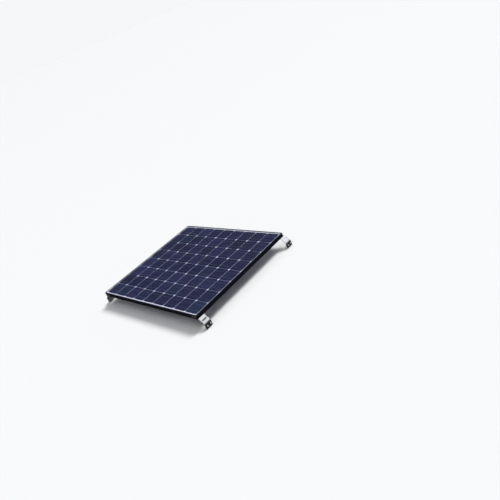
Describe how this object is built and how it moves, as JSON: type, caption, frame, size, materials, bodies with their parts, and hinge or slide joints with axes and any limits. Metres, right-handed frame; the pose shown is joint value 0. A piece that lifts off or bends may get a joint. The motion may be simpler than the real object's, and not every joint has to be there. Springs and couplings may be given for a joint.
{
  "type": "solar panel",
  "caption": "Flat framed solar panel with glass front, square dark cells on white, and bent side brackets that hold it over a tent lid or roof; junction box underneath with a hinged lid.",
  "frame": {"origin": "on the surface the bracket legs stand on, under the middle of the module", "axes": "+Z out of the glass, +X along the cell strings (the panel's wider side), +Y from the front edge to the rear edge"},
  "size_m": [1.2908, 1.0732, 0.1202],
  "materials": {
    "frame_black": "black anodised, satin",
    "key_aluminium": "mill finish extrusion",
    "stainless": "plain stainless steel",
    "seal_rubber": "black foam tape",
    "glass": "low-iron tempered, clear",
    "encapsulant": "clear laminated film",
    "silicon": "dark blue anti-reflection coat",
    "tinned_copper": "tinned copper strip",
    "backsheet_white": "white polymer film",
    "adhesive": "cured silicone",
    "box_plastic": "black moulded, fine grain",
    "box_rubber": "black rubber",
    "terminal_brass": "tinned brass",
    "diode_plastic": "black moulded body",
    "bracket_aluminium": "bare rolled sheet",
    "clamp_black": "black powder coat"
  },
  "bodies": {
    "module": {"backsheet": "backsheet_white", "bracket_front_left": "bracket_aluminium", "bracket_front_right": "bracket_aluminium", "bracket_rear_left": "bracket_aluminium", "bracket_rear_right": "bracket_aluminium", "bus_ribbons_left": "tinned_copper", "bus_ribbons_right": "tinned_copper", "bypass_diodes": "diode_plastic", "cell_string_1": "silicon", "cell_string_2": "silicon", "cell_string_3": "silicon", "cell_string_4": "silicon", "cell_string_5": "silicon", "cell_string_6": "silicon", "cell_string_7": "silicon", "cell_string_8": "silicon", "clamp_plate_front_left": "clamp_black", "clamp_plate_front_right": "clamp_black", "clamp_plate_rear_left": "clamp_black", "clamp_plate_rear_right": "clamp_black", "corner_key_front_left": "key_aluminium", "corner_key_front_right": "key_aluminium", "corner_key_rear_left": "key_aluminium", "corner_key_rear_right": "key_aluminium", "corner_screws": "stainless", "edge_seal": "seal_rubber", "frame_bolt_nuts": "stainless", "frame_bolt_washers": "stainless", "frame_bolts": "stainless", "frame_rail_front": "frame_black", "frame_rail_left": "frame_black", "frame_rail_rear": "frame_black", "frame_rail_right": "frame_black", "front_encapsulant": "encapsulant", "front_glass": "glass", "gland_body_negative": "box_plastic", "gland_body_positive": "box_plastic", "gland_cap_negative": "box_plastic", "gland_cap_positive": "box_plastic", "gland_seals": "box_rubber", "junction_box_adhesive": "adhesive", "junction_box_base": "box_plastic", "lid_hinge_pin": "stainless", "output_leads": "tinned_copper", "rail_t_nuts": "stainless", "rear_encapsulant": "encapsulant", "side_bolt_washers": "stainless", "side_bolts": "stainless", "string_ribbons_1": "tinned_copper", "string_ribbons_2": "tinned_copper", "string_ribbons_3": "tinned_copper", "string_ribbons_4": "tinned_copper", "string_ribbons_5": "tinned_copper", "string_ribbons_6": "tinned_copper", "string_ribbons_7": "tinned_copper", "string_ribbons_8": "tinned_copper", "terminal_plates": "terminal_brass"},
    "junction_lid": {"junction_box_lid": "box_plastic", "lid_gasket": "box_rubber"}
  },
  "joints": [
    {"name": "junction_lid_hinge", "type": "hinge", "parent": "module", "child": "junction_lid", "pos_m": [-0.5408, 0, 0.09175], "axis": [0, 1, 0], "range_deg": [0, 105]}
  ]
}
